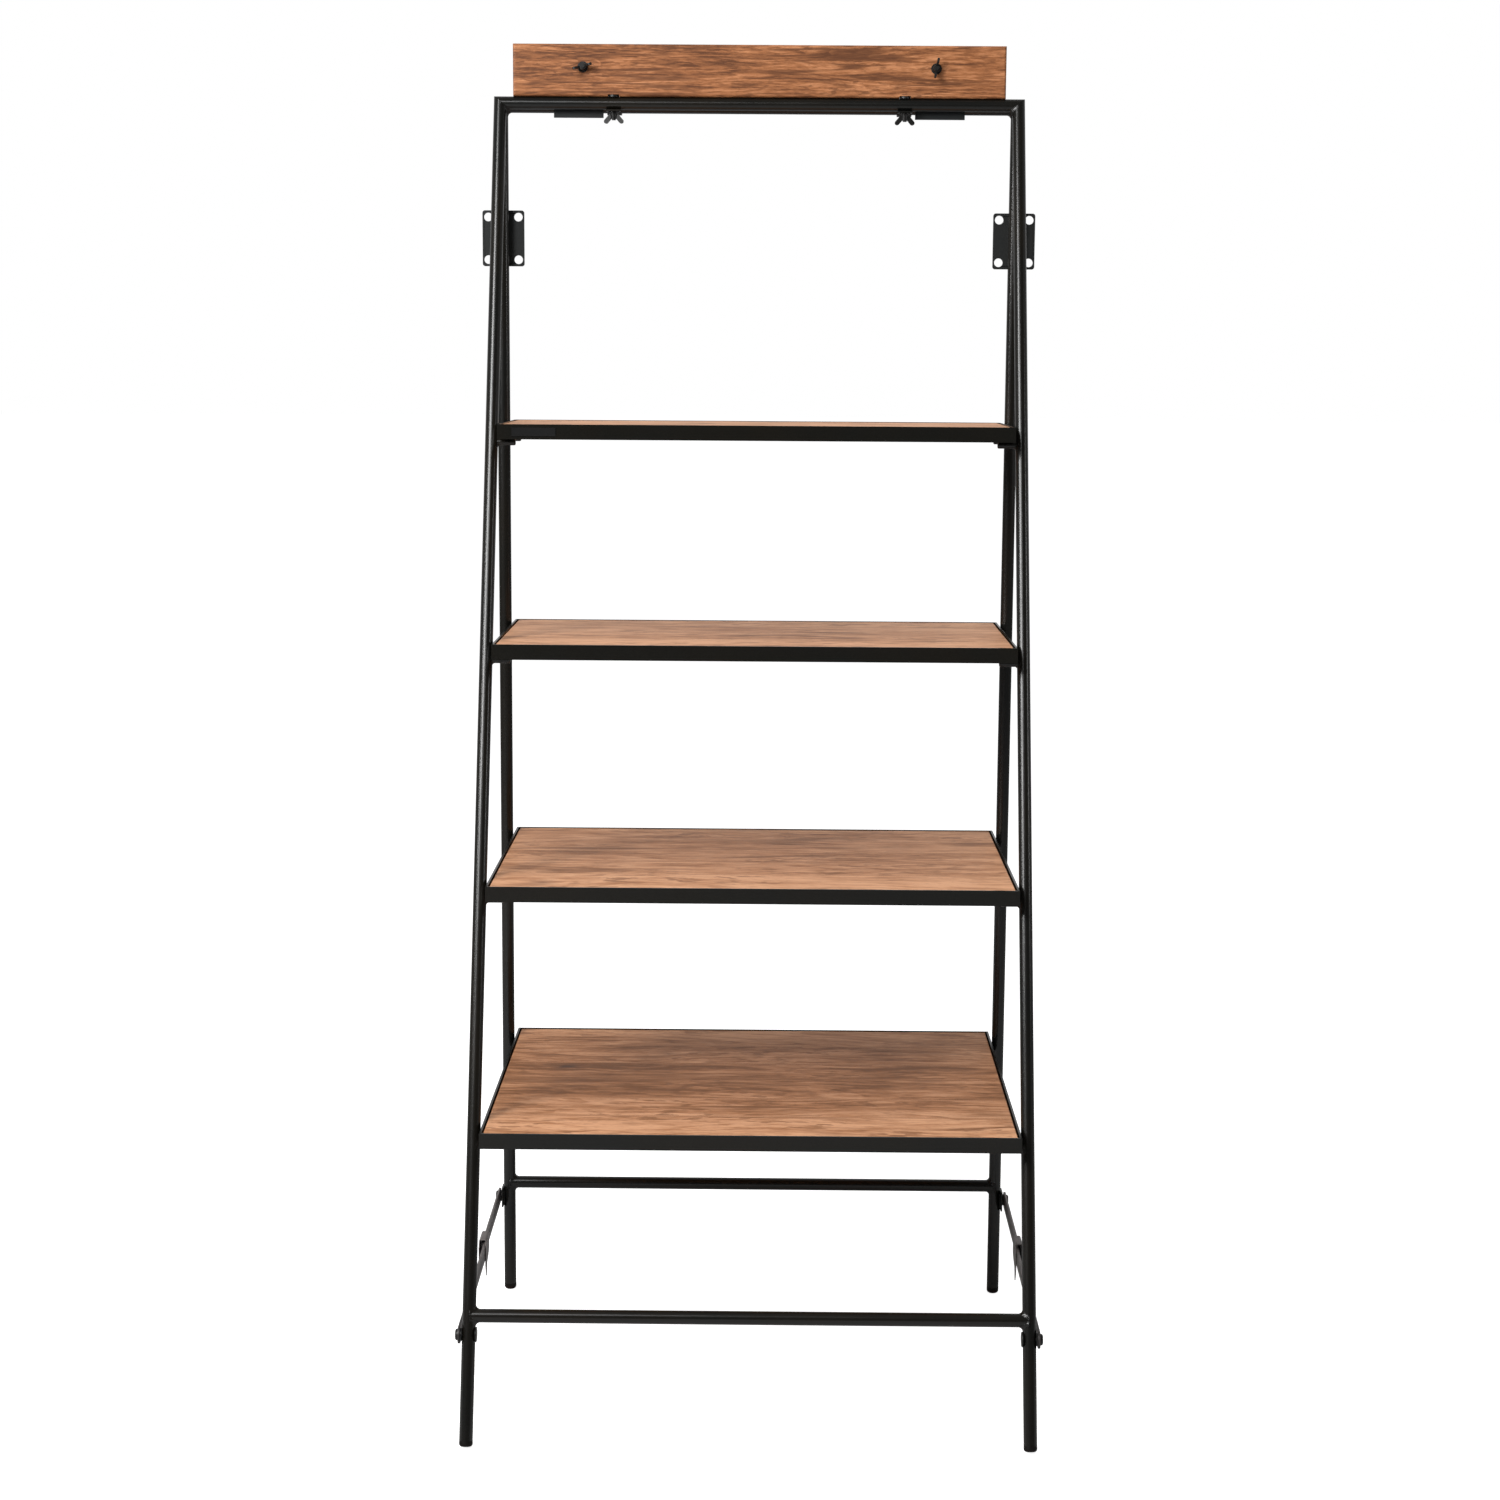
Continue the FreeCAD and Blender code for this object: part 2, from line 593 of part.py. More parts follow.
def export(parts):
    os.makedirs("parts", exist_ok=True)
    for name, solids in parts.items():
        shape = solids[0] if len(solids) == 1 else Part.makeCompound(solids)
        shape.exportStep(f"parts/{name}.step")


def main():
    parts = {"header_board": [header_board()]}
    for group in (rear_frame_tubes, front_frame_tubes, shelves, wall_plates,
                  header_fasteners, clamps, spreader_arms):
        parts.update(group())
    export(parts)


main()
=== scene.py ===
"""Looks of the ladder shelf: materials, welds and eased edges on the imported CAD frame."""

import json
import math
import random

import bpy
import bmesh
from mathutils import Matrix, Vector


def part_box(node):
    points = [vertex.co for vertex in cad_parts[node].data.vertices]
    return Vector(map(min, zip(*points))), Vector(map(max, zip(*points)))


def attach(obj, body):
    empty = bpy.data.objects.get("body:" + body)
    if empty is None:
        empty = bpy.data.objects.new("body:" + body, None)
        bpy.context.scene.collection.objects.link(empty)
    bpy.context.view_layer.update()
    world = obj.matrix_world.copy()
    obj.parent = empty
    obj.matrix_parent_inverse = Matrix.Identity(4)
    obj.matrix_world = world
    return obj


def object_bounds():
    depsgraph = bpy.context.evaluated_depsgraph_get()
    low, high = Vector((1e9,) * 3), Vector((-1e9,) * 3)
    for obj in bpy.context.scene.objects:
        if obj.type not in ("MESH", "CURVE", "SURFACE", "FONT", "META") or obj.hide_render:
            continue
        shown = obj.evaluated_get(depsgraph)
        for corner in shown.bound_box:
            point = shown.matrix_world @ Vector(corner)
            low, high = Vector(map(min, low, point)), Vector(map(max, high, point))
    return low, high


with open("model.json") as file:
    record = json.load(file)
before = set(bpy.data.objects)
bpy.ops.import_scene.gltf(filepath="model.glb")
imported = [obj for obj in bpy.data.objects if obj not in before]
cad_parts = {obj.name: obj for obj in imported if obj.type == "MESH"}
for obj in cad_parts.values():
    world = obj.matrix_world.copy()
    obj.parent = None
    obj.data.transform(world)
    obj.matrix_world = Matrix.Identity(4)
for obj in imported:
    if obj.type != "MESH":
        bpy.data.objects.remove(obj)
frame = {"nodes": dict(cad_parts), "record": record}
CAD_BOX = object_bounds()
NODES = frame["nodes"]
SIDES = ("left", "right")
MM = 0.001
WELD_SEED = 7

random.seed(WELD_SEED)


# ---------------------------------------------------------------- node graphs

class Graph:
    """A material's node tree, built one node at a time."""

    def __init__(self, name):
        self.material = bpy.data.materials.new(name)
        self.material.use_nodes = True
        self.tree = self.material.node_tree
        self.tree.nodes.clear()
        self.shader = self.tree.nodes.new("ShaderNodeBsdfPrincipled")
        self.output = self.tree.nodes.new("ShaderNodeOutputMaterial")
        self.tree.links.new(self.shader.outputs[0], self.output.inputs[0])
        self.position = self.node("ShaderNodeTexCoord").outputs["Object"]

    def put(self, socket, value):
        if isinstance(value, bpy.types.NodeSocket):
            self.tree.links.new(value, socket)
        else:
            socket.default_value = value

    def node(self, kind, inputs=None, **settings):
        made = self.tree.nodes.new(kind)
        for name, value in settings.items():
            setattr(made, name, value)
        for name, value in (inputs or {}).items():
            self.put(made.inputs[name], value)
        return made

    def surface(self, **values):
        for name, value in values.items():
            self.put(self.shader.inputs[name.replace("_", " ")], value)

    def math(self, operation, a, b=0.0):
        return self.node("ShaderNodeMath", {0: a, 1: b}, operation=operation).outputs[0]

    def vector(self, operation, a, b):
        return self.node("ShaderNodeVectorMath", {0: a, 1: b}, operation=operation).outputs[0]

    def joined(self, x, y, z):
        return self.node("ShaderNodeCombineXYZ", {0: x, 1: y, 2: z}).outputs[0]

    def axis(self, index):
        """One coordinate of the position on the object: 0, 1 or 2."""
        return self.node("ShaderNodeSeparateXYZ", {0: self.position}).outputs[index]

    def noise(self, where, scale, detail, roughness=0.55):
        """Noise in features per metre: one scale for every axis, or one for each."""
        if isinstance(scale, float):
            scale = (scale, scale, scale)
        stretched = self.vector("MULTIPLY", where, scale)
        inputs = {"Vector": stretched, "Scale": 1.0, "Detail": detail, "Roughness": roughness}
        return self.node("ShaderNodeTexNoise", inputs).outputs[0]

    def ramp(self, value, stops):
        made = self.node("ShaderNodeValToRGB", {0: value})
        elements = made.color_ramp.elements
        while len(elements) < len(stops):
            elements.new(0.5)
        for element, (at, colour) in zip(elements, stops):
            element.position = at
            element.color = (*colour, 1.0) if isinstance(colour, tuple) else (colour, colour, colour, 1.0)
        return made.outputs[0]

    def spread(self, value, low, high, to_low=0.0, to_high=1.0):
        inputs = {"Value": value, "From Min": low, "From Max": high, "To Min": to_low, "To Max": to_high}
        return self.node("ShaderNodeMapRange", inputs).outputs[0]

    def blend(self, share, a, b, kind="MIX"):
        made = self.node("ShaderNodeMix", data_type="RGBA", blend_type=kind)
        for index, value in ((0, share), (6, a), (7, b)):
            if isinstance(value, tuple) and len(value) == 3:
                value = (*value, 1.0)
            self.put(made.inputs[index], value)
        return made.outputs[2]

    def bump(self, height, strength, distance):
        return self.node("ShaderNodeBump", {"Height": height, "Strength": strength,
                                            "Distance": distance}).outputs[0]


# ------------------------------------------------------------------ materials

# Range that most of a noise's values lie in
NOISE_LOW, NOISE_HIGH = 0.3, 0.7

# Y between which the arms darken towards the front pivots as painted shade
ARM_SHADE_FROM, ARM_SHADE_TO = -0.24, -0.10

# Height of the warm-coloured tip of a foot
FOOT_TIP = 8 * MM

# Layers of wood grain: features per metre along and across it, then the noise's detail and roughness
BANDS = (2.4, 20.0, 6.0, 0.72)
STREAKS = (15.0, 85.0, 5.0, 0.68)
FIBRES = (60.0, 600.0, 3.0, 0.70)
CLOUDS = (3.0, 7.0, 3.0, 0.60)
FIGURE = (0.9, 8.0, 2.0, 0.45)
LINES = (0.8, 9.0, 3.0, 0.50)
LINE_PATCHES = (3.5, 6.0, 2.0, 0.60)
DASHES = (30.0, 95.0, 3.0, 0.55)
DASH_PATCHES = (4.0, 12.0, 3.0, 0.60)
PORES = (60.0, 420.0, 2.0, 0.55)

# How the grain sways: features per metre along and across it, and how far, in metres
SWAY_SCALE = (1.7, 4.0)
SWAY = 0.11

# Share of each layer, and of the planks' own colour levels with their painted shade, in the mix that picks a
# board's colour
BAND_SHARE = 0.48
STREAK_SHARE = 0.13
RING_SHARE = 0.17
FIBRE_SHARE = 0.12
CLOUD_SHARE = 0.18
TONE_AND_SHADE_SHARE = 0.34
COLOUR_STOPS = (0.43, 0.54, 0.67)

# How far each kind of mark turns the wood towards its dark or knot colour
LINE_STRENGTH = 0.8
DASH_STRENGTH = 0.70
PORE_STRENGTH = 0.42
KNOT_STRENGTH = 0.85

# Growth rings: how many show in the figure's range, and how dark each is from its start to its end
RING_COUNT = 17.0
RING_STOPS = [(0.0, 0.60), (0.55, 0.54), (0.86, 0.28), (0.96, 0.20), (1.0, 0.60)]

# Knots: cells per metre on each axis, how far and how finely their outline swirls, the share of cells
# without one, and how a knot fades from its middle
KNOT_CELLS = (4.4, 5.2, 5.2)
KNOT_SWIRL = (0.016, 0.012, 0.012)
KNOT_SWIRL_SCALE = 30.0
KNOTLESS_SHARE = 0.55
KNOT_STOPS = [(0.03, 1.0), (0.06, 0.5), (0.15, 0.0)]

# Glued planks: half the width of a joint, and how far a joint wanders, in plank widths
PLANK_JOINT = 2.2 * MM
PLANK_UNEVEN = 0.12


def painted_steel(name, colour, tint, roughness, sheen=0.26):
    """Satin black paint with a soft colour drift and slightly duller patches."""
    g = Graph(name)
    drift = g.noise(g.position, 5.0, detail=3.0)
    rub = g.noise(g.position, (14.0, 14.0, 9.0), detail=3.0)
    dullness = g.spread(rub, NOISE_LOW, NOISE_HIGH, roughness - 0.015, roughness + 0.02)
    g.surface(Base_Color=g.blend(g.spread(drift, 0.35, 0.65), colour, tint), Roughness=dullness,
              Specular_IOR_Level=sheen)
    return g.material


def bare_steel(name, colour, light, roughness, metallic, front=1.0):
    """Rolled steel with a thin dark finish: fine scratches, cloudy patches and paler rubbed spots.

    front is how much of the colour is left at the front pivots, where the arms are darkened as painted
    shade."""
    g = Graph(name)
    cloud = g.noise(g.position, 60.0, detail=5.0, roughness=0.6)
    scratch = g.noise(g.position, (900.0, 40.0, 900.0), detail=3.0, roughness=0.7)
    mixed = g.math("ADD", g.math("MULTIPLY", cloud, 0.7), g.math("MULTIPLY", scratch, 0.3))
    # Painted shade: the colour darkens towards the front pivots
    shade = g.spread(g.axis(1), ARM_SHADE_FROM, ARM_SHADE_TO, front, 1.0)
    finish = g.ramp(mixed, [(0.35, colour), (0.72, light)])
    g.surface(Base_Color=g.blend(1.0, finish, g.joined(shade, shade, shade), "MULTIPLY"), Metallic=metallic,
              Roughness=g.spread(scratch, NOISE_LOW, NOISE_HIGH, roughness - 0.07, roughness + 0.08),
              Normal=g.bump(mixed, 0.3, 0.15 * MM))
    return g.material


def moulded_plastic(name, colour, warm):
    """Black moulded cap with a fine matt texture and a warm brown cast at the tip."""
    g = Graph(name)
    grain = g.noise(g.position, 1600.0, detail=2.0)
    scuff = g.noise(g.position, 120.0, detail=5.0, roughness=0.7)
    tip = g.spread(g.axis(2), FOOT_TIP, 0.0)
    share = g.math("MULTIPLY", tip, g.spread(scuff, NOISE_LOW, NOISE_HIGH, 0.4, 1.0))
    g.surface(Base_Color=g.blend(share, colour, warm), Specular_IOR_Level=0.12,
              Roughness=g.spread(scuff, NOISE_LOW, NOISE_HIGH, 0.38, 0.55),
              Normal=g.bump(grain, 0.3, 0.1 * MM))
    return g.material


def plank_tones(rng, depth, tones_and_shade):
    """Stops across a board's depth: every glued plank has its own level, partly its own colour and on the
    shelves partly painted shade, with a soft change between.
    """
    stops = []
    count = len(tones_and_shade)
    edges = []
    for k in range(count + 1):
        shift = rng.uniform(-PLANK_UNEVEN, PLANK_UNEVEN) if 0 < k < count else 0.0
        edges.append((k + shift) / count)
    soft = PLANK_JOINT / depth
    for k, tone_and_shade in enumerate(tones_and_shade):
        stops.append((min(1.0, edges[k] + (soft if k else 0.0)), tone_and_shade))
        stops.append((max(0.0, edges[k + 1] - soft), tone_and_shade))
    return stops


def darkened(g, colour, dark, mask, strength):
    """The colour turned towards the dark one where the mask is set."""
    return g.blend(g.math("MULTIPLY", mask, strength), colour, dark)


def knots_in(g, where, streaks):
    """Mask of a few swirled knots, one in some of the cells."""
    swirl = g.node("ShaderNodeTexNoise", {"Vector": where, "Scale": KNOT_SWIRL_SCALE, "Detail": 3.0})
    swirled = g.vector("ADD", where, g.vector("MULTIPLY", swirl.outputs[1], KNOT_SWIRL))
    scaled = g.vector("MULTIPLY", swirled, KNOT_CELLS)
    cells = g.node("ShaderNodeTexVoronoi", {"Vector": scaled, "Scale": 1.0})
    chance = g.node("ShaderNodeSeparateColor", {0: cells.outputs["Color"]}).outputs[0]
    picked = g.math("GREATER_THAN", chance, KNOTLESS_SHARE)
    knots = g.math("MULTIPLY", g.ramp(cells.outputs["Distance"], KNOT_STOPS), picked)
    return g.math("MULTIPLY", knots, g.spread(streaks, 0.2, 0.8, 0.55, 1.0))


def oiled_wood(name, across, low, high, tones_and_shade, seed, palette, sheen, fine=1.0):
    """Edge-glued boards with the grain along X: rings, streaks, fibres, pores and a few knots.

    across is the axis (1 for Y, 2 for Z) the planks lie side by side along, sheen the strength of the
    reflections, and fine how much closer the grain lies than on a wide shelf."""
    light, middle, dark, knot_colour = palette
    g = Graph(name)
    # Plank levels: the planks' own colour, and on the shelves partly painted shade
    tone_and_shade = g.ramp(g.spread(g.axis(across), low, high), plank_tones(random.Random(seed), high - low, tones_and_shade))
    jump = g.joined(g.math("MULTIPLY", tone_and_shade, 9.0), seed * 1.7, g.math("MULTIPLY", tone_and_shade, 3.0))
    where = g.vector("ADD", g.position, jump)

    along, width = SWAY_SCALE
    wander = g.noise(where, (along, width * fine, width * fine), detail=2.0)
    shift = g.math("MULTIPLY", g.math("SUBTRACT", wander, 0.5), SWAY / fine)
    grain = g.vector("ADD", where, g.joined(0.0, shift, shift))

    def layer(kind, closer=fine):
        length, width, detail, roughness = kind
        return g.noise(grain, (length * closer ** 0.6, width * closer, width * closer), detail, roughness)

    bands = layer(BANDS)
    streaks = g.ramp(layer(STREAKS), [(0.36, 0.0), (0.64, 1.0)])
    fibres = layer(FIBRES, 1.0)
    clouds = layer(CLOUDS, 1.0)
    rings = g.ramp(g.math("FRACT", g.math("MULTIPLY", layer(FIGURE), RING_COUNT)), RING_STOPS)

    mix = g.math("MULTIPLY", bands, BAND_SHARE)
    for part, share in ((streaks, STREAK_SHARE), (rings, RING_SHARE), (fibres, FIBRE_SHARE),
                        (clouds, CLOUD_SHARE), (g.math("SUBTRACT", tone_and_shade, 0.5), TONE_AND_SHADE_SHARE)):
        mix = g.math("ADD", mix, g.math("MULTIPLY", part, share))
    colour = g.ramp(mix, list(zip(COLOUR_STOPS, (dark, middle, light))))

    off_line = g.math("ABSOLUTE", g.math("SUBTRACT", layer(LINES), 0.5))
    lines = g.math("MULTIPLY", g.spread(off_line, 0.034, 0.008), g.spread(layer(LINE_PATCHES), 0.46, 0.58))
    colour = darkened(g, colour, dark, lines, LINE_STRENGTH)

    gathered = g.spread(layer(DASH_PATCHES), 0.42, 0.60)
    dashes = g.math("MULTIPLY", g.ramp(layer(DASHES), [(0.54, 0.0), (0.60, 1.0)]), gathered)
    colour = darkened(g, colour, dark, dashes, DASH_STRENGTH)

    pores = g.ramp(layer(PORES, 1.0), [(0.58, 0.0), (0.68, 1.0)])
    colour = darkened(g, colour, dark, pores, PORE_STRENGTH)
    knots = knots_in(g, where, streaks)
    colour = darkened(g, colour, knot_colour, knots, KNOT_STRENGTH)

    height = g.math("SUBTRACT", g.math("MULTIPLY", fibres, 0.6), g.math("MULTIPLY", pores, 0.8))
    height = g.math("SUBTRACT", height, g.math("MULTIPLY", knots, 0.6))
    g.surface(Base_Color=colour, Roughness=g.spread(fibres, NOISE_LOW, NOISE_HIGH, 0.45, 0.58),
              Specular_IOR_Level=sheen, Normal=g.bump(height, 0.35, 0.3 * MM))
    return g.material


def use(names, material):
    for name in names:
        data = NODES[name].data
        data.materials.clear()
        data.materials.append(material)


STEEL = painted_steel("black_frame_paint", (0.0036, 0.0038, 0.0034), (0.0060, 0.0048, 0.0032), 0.24, 0.36)
RIM_PAINT = painted_steel("black_rim_paint", (0.0050, 0.0052, 0.0046), (0.0064, 0.0054, 0.0038), 0.22, 0.24)
# The frame's black paint made lighter for the wall plates and header brackets, as painted reflection
FLAT_PAINT_PAINTED_REFLECTION = painted_steel("black_plate_paint_painted_reflection", (0.012, 0.014, 0.015), (0.016, 0.016, 0.015), 0.34)
# The arms keep a quarter of their colour at the front pivots, darkened there as painted shade
ARM_STEEL = bare_steel("arm_steel", (0.075, 0.066, 0.064), (0.175, 0.155, 0.150), 0.42, 0.35, front=0.25)
HARDWARE = bare_steel("black_hardware", (0.007, 0.007, 0.0065), (0.022, 0.021, 0.020), 0.36, 0.4)
FOOT = moulded_plastic("foot_plastic", (0.0045, 0.0036, 0.0030), (0.018, 0.007, 0.004))
BLANK_PAINT = painted_steel("plate_paint", (0.006, 0.006, 0.006), (0.009, 0.009, 0.009), 0.28)

# Wood colours: light, middle, dark and knot
TEAK = ((0.520, 0.272, 0.146), (0.330, 0.147, 0.064), (0.150, 0.057, 0.018), (0.036, 0.015, 0.008))
WALNUT_TEAK = ((0.430, 0.188, 0.084), (0.240, 0.090, 0.033), (0.086, 0.030, 0.011), (0.032, 0.013, 0.007))

# Shelves from the top down: the level of each plank from rear to front, partly the planks' own colour and
# partly painted shade where the shelf above shades the board, and the boards' sheen
SHELF_TONES_AND_SHADE = {
    1: (0.76, 0.68, 0.74),
    2: (0.74, 0.66, 0.72, 0.78),
    3: (0.76, 0.64, 0.60, 0.68, 0.64),
    4: (0.74, 0.62, 0.44, 0.40, 0.56, 0.62),
}
SHELF_SHEEN = {1: 0.50, 2: 0.42, 3: 0.24, 4: 0.16}
SHELF_SEED = 3
HEADER_TONES = (0.47, 0.47)
HEADER_SHEEN = 0.2
HEADER_SEED = 21
HEADER_FINE = 4.0
HEADER_MARGIN = 0.2


def frame_materials():
    by_slot = {}
    for row in frame["record"]["subparts"]:
        by_slot.setdefault(row["material_slot"], []).append(row["node"])
    use(by_slot["frame_steel"], STEEL)
    use([name for name in by_slot["frame_steel"] if name.endswith("_rim")], RIM_PAINT)
    # Wall plates and header brackets get the lighter paint that carries painted reflection
    use([f"{name}_{side}" for name in ("wall_plate", "header_bracket") for side in SIDES], FLAT_PAINT_PAINTED_REFLECTION)
    use(by_slot["foot_cap"], FOOT)
    use(by_slot["arm_steel"], ARM_STEEL)
    use(by_slot["hardware"], HARDWARE)
    use(by_slot["blank_plate"], BLANK_PAINT)
    # Each shelf's plank levels carry painted shade where the shelf above shades the board
    for number, tones_and_shade in SHELF_TONES_AND_SHADE.items():
        name = f"shelf_{number}_board"
        low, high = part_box(name)
        use([name], oiled_wood(f"shelf_{number}_wood", 1, low.y, high.y, tones_and_shade, SHELF_SEED + number, TEAK,
                               SHELF_SHEEN[number]))
    low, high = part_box("header_board")
    use(["header_board"], oiled_wood("header_wood", 2, low.z - HEADER_MARGIN, high.z + HEADER_MARGIN,
                                     HEADER_TONES, HEADER_SEED, WALNUT_TEAK, HEADER_SHEEN, HEADER_FINE))


frame_materials()


# --------------------------------------------------------------------- welds

TUBE_R = 9.5 * MM
PEG_R = 5.0 * MM
BAR_WELD = 5.2 * MM
PEG_WELD = 3.2 * MM
PLATE_BEAD = 2.6 * MM
TAB_BEAD = 1.5 * MM
FULL_TURN = (0.0, 360.0)
LOWER_HALF = (188.0, 352.0)

# Sections round a weld, and how its size ripples and varies from one to the next
WELD_SECTIONS = 150
WELD_RIPPLE = 0.07
WELD_RIPPLE_STEP = 1.35
WELD_UNEVEN = 0.05
# Size beside the leg as a share of the size above and below the bar, and at the end of an open weld
WELD_SIDE = 0.22
WELD_END = 0.12
# How deep a weld's edges and its root sit in the metal
WELD_SUNK = 0.15 * MM
WELD_ROOT = 0.6 * MM
# How far its hollow face bulges out of the corner, and the steps of the curve that draws the face
WELD_HOLLOW = 0.12
WELD_CURVE = (0.0, 0.2, 0.4, 0.6, 0.8, 1.0)

# Beads: length of a step, sides of the section, ripple and how uneven it is, and the size of the ends
BEAD_PITCH = 0.55 * MM
BEAD_SIDES = 10
BEAD_RIPPLE = 0.12
BEAD_RIPPLE_STEP = 1.9
BEAD_UNEVEN = 0.06
BEAD_END = 0.25

# Where the beads lie: off the leg's middle, and short of the ends of the plate or tab
PLATE_BEAD_OFF = 0.62 * TUBE_R
PLATE_BEAD_SHORT = 7 * MM
TAB_BEAD_OFF = 4.0 * MM
TAB_BEAD_OUT = TUBE_R - 0.8 * MM
TAB_BEAD_SHORT = 2 * MM


def piece(name, bm, material, body):
    """A smooth piece of one material that moves with a body."""
    made = bpy.data.objects.new(name, mesh_from(name, bm))
    bpy.context.scene.collection.objects.link(made)
    made.data.materials.append(material)
    for polygon in made.data.polygons:
        polygon.use_smooth = True
    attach(made, body)


def mesh_from(name, bm):
    bmesh.ops.recalc_face_normals(bm, faces=bm.faces)
    mesh = bpy.data.meshes.new(name)
    bm.to_mesh(mesh)
    bm.free()
    return mesh


def loft(bm, rings, closed):
    """Skin closed sections: a closed loop of them, or an open run with an end cap on each end."""
    made = [[bm.verts.new(point) for point in ring] for ring in rings]
    count = len(made[0])
    pairs = list(zip(made, made[1:])) + ([(made[-1], made[0])] if closed else [])
    for first, second in pairs:
        for k in range(count):
            after = (k + 1) % count
            bm.faces.new((first[k], first[after], second[after], second[k]))
    if not closed:
        bm.faces.new(made[0])
        bm.faces.new(made[-1])


def fillet_rings(corner, along_leg, inward, bar_r, size, arc):
    """Sections of the weld between a leg and a bar that runs square away from it.

    corner is where the two axes meet, along_leg and inward their directions, and arc the first and
    last angle round the bar, with 90 degrees pointing along the leg."""
    across = inward.cross(along_leg)
    first, last = (math.radians(a) for a in arc)
    whole = arc is FULL_TURN
    gaps = WELD_SECTIONS if whole else WELD_SECTIONS - 1
    rings = []
    for k in range(WELD_SECTIONS):
        angle = first + (last - first) * k / gaps
        c, s = math.cos(angle), math.sin(angle)
        ripple = 1.0 + WELD_RIPPLE * math.sin(k * WELD_RIPPLE_STEP) + WELD_UNEVEN * random.uniform(-1.0, 1.0)
        reach = size * (WELD_SIDE + (1 - WELD_SIDE) * abs(s) ** 1.3) * ripple
        if not whole:
            reach *= max(WELD_END, math.sin(math.pi * (k / gaps)) ** 0.6)

        def at(radius, out):
            return corner + inward * out + (across * c + along_leg * s) * radius

        def leg_out(radius):
            return math.sqrt(max(0.0, TUBE_R ** 2 - min((radius * c) ** 2, (0.995 * TUBE_R) ** 2)))

        base = leg_out(bar_r)
        on_bar = (bar_r - WELD_SUNK, base + reach)
        on_leg = (bar_r + reach, leg_out(bar_r + reach) - WELD_SUNK)
        middle = (bar_r + WELD_HOLLOW * reach, base + WELD_HOLLOW * reach)
        section = [(bar_r - WELD_ROOT, max(0.0, base - WELD_ROOT))]
        for t in WELD_CURVE:
            u = 1.0 - t
            section.append(tuple(u * u * on_bar[i] + 2 * u * t * middle[i] + t * t * on_leg[i]
                                 for i in range(2)))
        rings.append([at(radius, out) for radius, out in section])
    return rings


def box_centre(node):
    low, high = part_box(node)
    return (low + high) / 2


def shells(node):
    """Centre of each separate solid of a node, found from vertices that share faces or places."""
    mesh = NODES[node].data
    spot = {}
    parent = list(range(len(mesh.vertices)))

    def root(i):
        while parent[i] != i:
            parent[i] = parent[parent[i]]
            i = parent[i]
        return i

    for v in mesh.vertices:
        key = tuple(round(c * 1e5) for c in v.co)
        if key in spot:
            parent[root(v.index)] = root(spot[key])
        else:
            spot[key] = v.index
    for edge in mesh.edges:
        parent[root(edge.vertices[0])] = root(edge.vertices[1])
    groups = {}
    for v in mesh.vertices:
        groups.setdefault(root(v.index), []).append(v.co)
    centres = []
    for points in groups.values():
        low = Vector(map(min, zip(*points)))
        high = Vector(map(max, zip(*points)))
        centres.append((low + high) / 2)
    return sorted(centres, key=lambda p: (p.z, p.x, p.y))


LEG_X = box_centre("rear_leg_right").x
FRONT_TOP, FRONT_CROSS = box_centre("front_top_bar"), box_centre("front_cross_bar")
FRONT_AXIS = Vector((0.0, FRONT_TOP.y - FRONT_CROSS.y, FRONT_TOP.z - FRONT_CROSS.z)).normalized()
REAR_AXIS = Vector((0.0, 0.0, 1.0))


def frame_welds(name, axis):
    """All the welds of the rear or front frame, whose legs run along axis: bars, corners and pegs."""
    body = f"{name}_frame"
    cross, top = box_centre(f"{name}_cross_bar"), box_centre(f"{name}_top_bar")
    bm = bmesh.new()
    for sign in (-1.0, 1.0):
        for centre, arc in ((cross, FULL_TURN), (top, LOWER_HALF)):
            corner = Vector((sign * LEG_X, centre.y, centre.z))
            inward = Vector((-sign, 0.0, 0.0))
            loft(bm, fillet_rings(corner, axis, inward, TUBE_R, BAR_WELD, arc), arc is FULL_TURN)
    piece(f"{body}_bar_welds", bm, STEEL, body)
    bm = bmesh.new()
    for side, sign in zip(SIDES, (-1.0, 1.0)):
        for centre in shells(f"{name}_pegs_{side}"):
            corner = Vector((sign * LEG_X, centre.y, centre.z))
            inward = Vector((-sign, 0.0, 0.0))
            loft(bm, fillet_rings(corner, axis, inward, PEG_R, PEG_WELD, FULL_TURN), True)
    piece(f"{body}_peg_welds", bm, STEEL, body)


def bead(bm, x, y, low, high, radius, flat):
    """An upright rippled run of weld with a round section; flat points away from the wall it lies on."""
    start = Vector((x, y, low))
    run = Vector((x, y, high)) - start
    side = run.normalized().cross(flat)
    rings = []
    steps = max(24, int(run.length / BEAD_PITCH))
    for k in range(steps + 1):
        share = k / steps
        ripple = BEAD_RIPPLE * math.sin(k * BEAD_RIPPLE_STEP) + BEAD_UNEVEN * random.uniform(-1, 1)
        size = radius * (1.0 + ripple) * min(1.0, BEAD_END + 6.0 * min(share, 1.0 - share))
        centre = start + run * share
        rings.append([centre + (flat * math.cos(a) + side * math.sin(a)) * size
                      for a in (math.tau * j / BEAD_SIDES for j in range(BEAD_SIDES))])
    loft(bm, rings, False)


